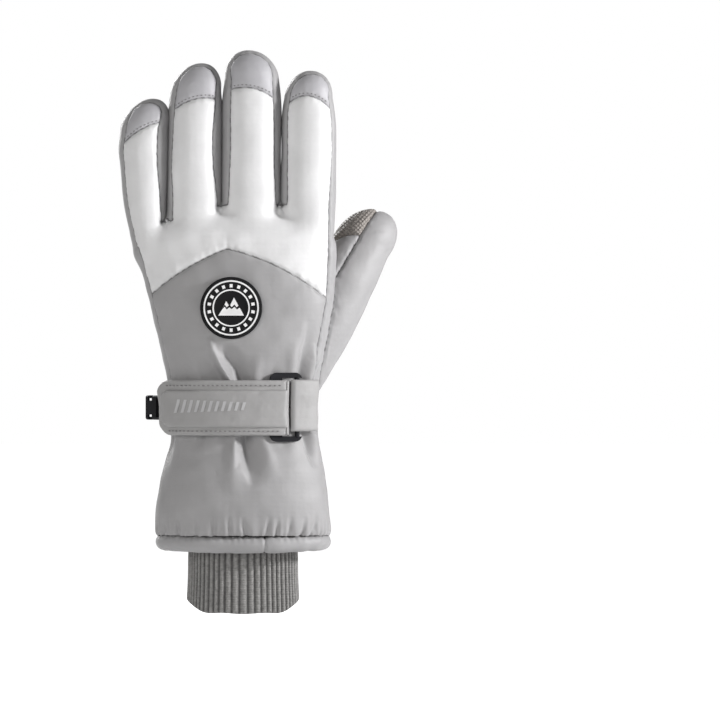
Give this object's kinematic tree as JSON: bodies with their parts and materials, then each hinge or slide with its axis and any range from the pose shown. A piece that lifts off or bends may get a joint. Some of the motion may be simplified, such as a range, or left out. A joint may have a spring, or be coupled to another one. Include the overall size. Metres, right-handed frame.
{
  "type": "ski glove",
  "caption": "Insulated left-hand ski glove with a white and grey shell, grip palm, wrist strap with hook and loop, clip and ribbed knit cuff.",
  "frame": {"origin": "centre of the hand opening at the knit cuff's bottom rim", "axes": "+Z from the cuff to the fingertips, -Y out of the back of the hand, +Y out of the palm, +X towards the thumb"},
  "size_m": [0.1397, 0.0695, 0.2807],
  "materials": {
    "shell_grey": "coated plain-weave nylon, light grey",
    "shell_white": "coated plain-weave nylon, white, slight satin sheen",
    "cap_grey": "coated plain-weave nylon, grey",
    "trim_grey": "coated plain-weave nylon, grey",
    "strap_grey": "coated nylon over webbing, grey",
    "padding": "synthetic wadding with a brushed face",
    "fleece": "brushed fleece",
    "grip": "embossed synthetic leather, taupe",
    "knit": "ribbed knit, grey",
    "elastic": "woven elastic",
    "badge_black": "moulded soft rubber, black",
    "badge_white": "moulded soft rubber, white",
    "black_plastic": "moulded acetal, black",
    "webbing": "woven webbing, black",
    "hook_and_loop": "hook and loop tape"
  },
  "bodies": {
    "hand": {"back_lower_panel": "shell_grey", "back_upper_panel": "shell_white", "badge_base": "badge_black", "badge_relief": "badge_white", "clip_webbing": "webbing", "gauntlet_back": "shell_grey", "gauntlet_lining": "fleece", "gauntlet_padding_back": "padding", "gauntlet_padding_palm": "padding", "gauntlet_palm": "shell_grey", "hand_lining": "fleece", "hand_padding_back": "padding", "hand_padding_palm": "padding", "hand_side_strip_inner": "trim_grey", "hand_side_strip_outer": "trim_grey", "hem_binding": "trim_grey", "knit_cuff": "knit", "palm_grip_patch": "grip", "palm_panel": "shell_grey", "ring_tab": "strap_grey", "strap_loop_patch": "hook_and_loop", "strap_under": "strap_grey", "thumb_base_padding": "padding", "thumb_gusset": "shell_grey", "wrist_elastic": "elastic"},
    "index": {"index_back": "shell_white", "index_front": "shell_grey", "index_grip_patch": "grip", "index_liner": "padding", "index_side_strip": "trim_grey", "index_tip_cap": "cap_grey"},
    "middle": {"middle_back": "shell_white", "middle_front": "shell_grey", "middle_grip_patch": "grip", "middle_liner": "padding", "middle_side_strip": "trim_grey", "middle_tip_cap": "cap_grey"},
    "ring": {"ring_back": "shell_white", "ring_front": "shell_grey", "ring_liner": "padding", "ring_side_strip": "trim_grey", "ring_tip_cap": "cap_grey"},
    "pinky": {"pinky_back": "shell_white", "pinky_front": "shell_grey", "pinky_liner": "padding", "pinky_side_strip": "trim_grey", "pinky_tip_cap": "cap_grey"},
    "thumb": {"thumb_back": "shell_grey", "thumb_front": "shell_grey", "thumb_grip_patch": "grip", "thumb_liner": "padding"},
    "strap_loop": {"strap_fold": "strap_grey", "strap_ring": "black_plastic"},
    "strap_end": {"strap_flap": "strap_grey", "strap_hook_patch": "hook_and_loop", "strap_panel": "strap_grey"},
    "clip": {"clip_socket": "black_plastic"}
  },
  "joints": [
    {"name": "index_flex", "type": "hinge", "parent": "hand", "child": "index", "pos_m": [0.0326, 0.005, 0.202], "axis": [-1, 0, 0], "range_deg": [0, 55], "stiffness_Nm_per_rad": 0.05},
    {"name": "middle_flex", "type": "hinge", "parent": "hand", "child": "middle", "pos_m": [0.0038, 0.005, 0.202], "axis": [-1, 0, 0], "range_deg": [0, 55], "stiffness_Nm_per_rad": 0.05},
    {"name": "ring_flex", "type": "hinge", "parent": "hand", "child": "ring", "pos_m": [-0.025, 0.005, 0.199], "axis": [-1, 0, 0], "range_deg": [0, 55], "stiffness_Nm_per_rad": 0.05},
    {"name": "pinky_flex", "type": "hinge", "parent": "hand", "child": "pinky", "pos_m": [-0.0485, 0.005, 0.194], "axis": [-1, 0, 0], "range_deg": [0, 55], "stiffness_Nm_per_rad": 0.05},
    {"name": "thumb_flex", "type": "hinge", "parent": "hand", "child": "thumb", "pos_m": [0.046, 0.02353, 0.15893], "axis": [-0.8656, 0, 0.5007], "range_deg": [0, 45], "stiffness_Nm_per_rad": 0.05},
    {"name": "strap_ring_swivel", "type": "hinge", "parent": "hand", "child": "strap_loop", "pos_m": [0.027, -0.01859, 0.102], "axis": [0, 0, 1], "range_deg": [0, 12]},
    {"name": "strap_peel", "type": "hinge", "parent": "strap_loop", "child": "strap_end", "pos_m": [0.0212, -0.0226, 0.10175], "axis": [0, 0, 1], "range_deg": [0, 120]},
    {"name": "clip_swing", "type": "hinge", "parent": "hand", "child": "clip", "pos_m": [-0.0399, 0.008, 0.10165], "axis": [0, 0, 1], "range_deg": [-30, 30]}
  ]
}
